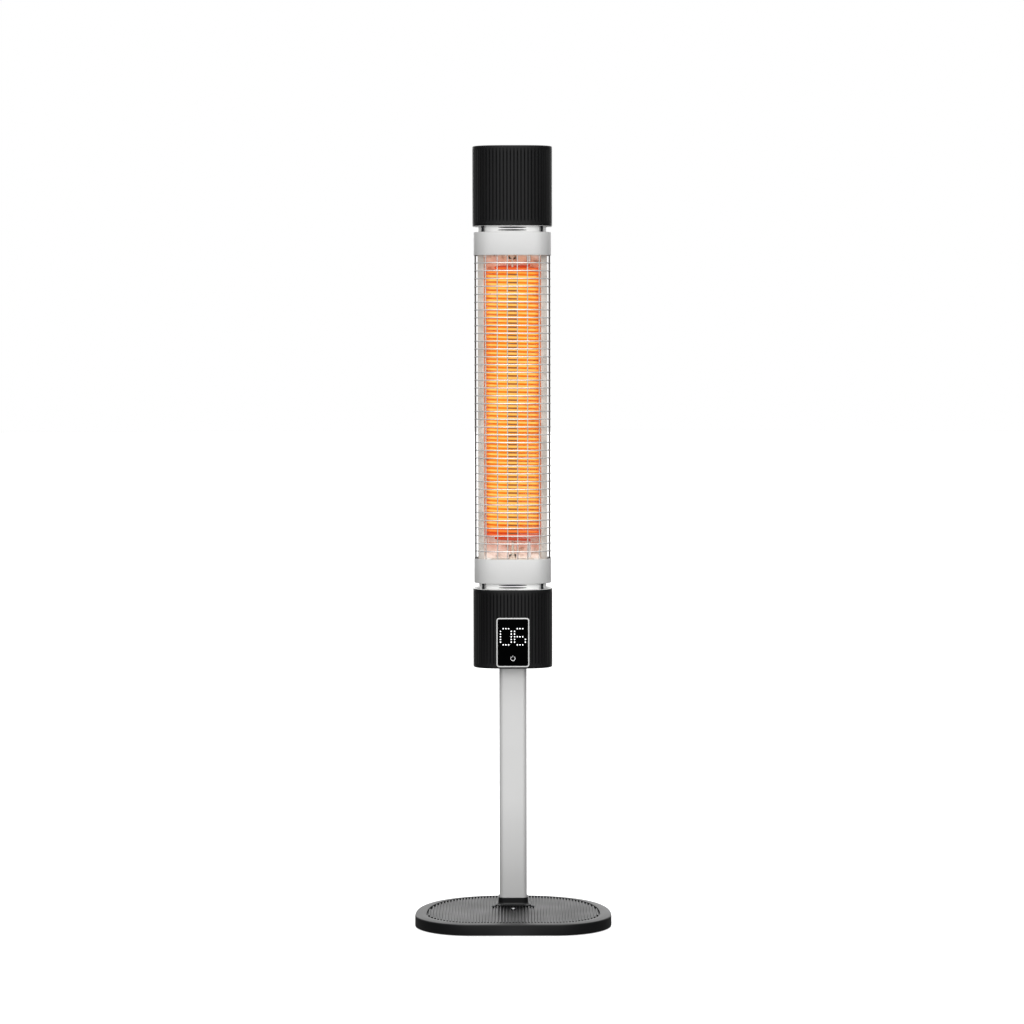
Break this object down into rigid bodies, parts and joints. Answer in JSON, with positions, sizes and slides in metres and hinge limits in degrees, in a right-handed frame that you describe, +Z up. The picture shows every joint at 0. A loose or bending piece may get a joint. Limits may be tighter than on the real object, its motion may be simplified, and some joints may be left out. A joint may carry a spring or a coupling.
{
  "type": "infrared patio heater tower",
  "caption": "Free-standing infrared heater: D-shaped ribbed base, aluminium pole and a slim tower with a glowing coil behind a wire guard and a fluted black cap.",
  "frame": {"origin": "on the floor, under the middle of the bounding box, which is the middle of the base outline", "axes": "+Z up along the pole, -Y towards the front where the display and the glowing window face, +X to the right of someone looking at the front"},
  "size_m": [0.341, 0.2834, 1.3519],
  "materials": {
    "black_plastic": "moulded black plastic with a semi-gloss skin",
    "black_steel": "black-finished steel",
    "rubber": "matt black rubber",
    "satin_aluminium": "satin brushed aluminium",
    "polished_sheet": "bright rolled sheet",
    "guard_wire": "bright plated wire",
    "steel": "plain zinc-plated steel",
    "ceramic": "unglazed off-white ceramic",
    "coil_wire": "resistance strand, glowing orange in use",
    "display_glass": "glossy black glass with lit white dots",
    "circuit_board": "green board",
    "white_plastic": "off-white moulded plastic",
    "brass": "plain brass"
  },
  "bodies": {
    "heater": {"ballast_plate": "steel", "base_cover": "black_plastic", "bracket_bolt_left": "steel", "bracket_bolt_right": "steel", "cap_plate": "black_steel", "cap_screw_left": "steel", "cap_screw_right": "steel", "clamp_screw_left": "steel", "clamp_screw_right": "steel", "coil_former": "ceramic", "cord_gland": "black_plastic", "cover_screw_front": "steel", "cover_screw_left": "black_steel", "cover_screw_right": "black_steel", "display_board": "circuit_board", "display_frame": "satin_aluminium", "display_glass": "display_glass", "foot_front_left": "rubber", "foot_front_right": "rubber", "foot_rear_left": "rubber", "foot_rear_right": "rubber", "heating_coil": "coil_wire", "housing_floor": "black_plastic", "lower_band": "satin_aluminium", "lower_coil_holder": "ceramic", "lower_end_plate": "satin_aluminium", "lower_housing": "black_plastic", "lower_neck": "polished_sheet", "lower_spacer_front_left": "black_steel", "lower_spacer_front_right": "black_steel", "lower_spacer_rear_left": "black_steel", "lower_spacer_rear_right": "black_steel", "lower_terminal": "steel", "pole_bracket": "steel", "pole_clamp": "steel", "pole_collar": "black_plastic", "pole_tube": "satin_aluminium", "power_board": "circuit_board", "rear_cover": "satin_aluminium", "reflector": "polished_sheet", "return_lead": "white_plastic", "side_rail_left": "satin_aluminium", "side_rail_right": "satin_aluminium", "terminal_block": "white_plastic", "thermal_cutout": "white_plastic", "tilt_pin": "steel", "tilt_yoke": "white_plastic", "top_cap": "black_plastic", "upper_band": "satin_aluminium", "upper_coil_holder": "ceramic", "upper_end_plate": "satin_aluminium", "upper_neck": "polished_sheet", "upper_spacer_front_left": "black_steel", "upper_spacer_front_right": "black_steel", "upper_spacer_rear_left": "black_steel", "upper_spacer_rear_right": "black_steel", "upper_terminal": "steel", "wire_guard": "guard_wire"},
    "pendulum": {"tilt_pendulum": "brass"}
  },
  "joints": [
    {"name": "tilt_swing", "type": "hinge", "parent": "heater", "child": "pendulum", "pos_m": [0, 0.02625, 0.5692], "axis": [1, 0, 0], "range_deg": [-35, 35]}
  ]
}
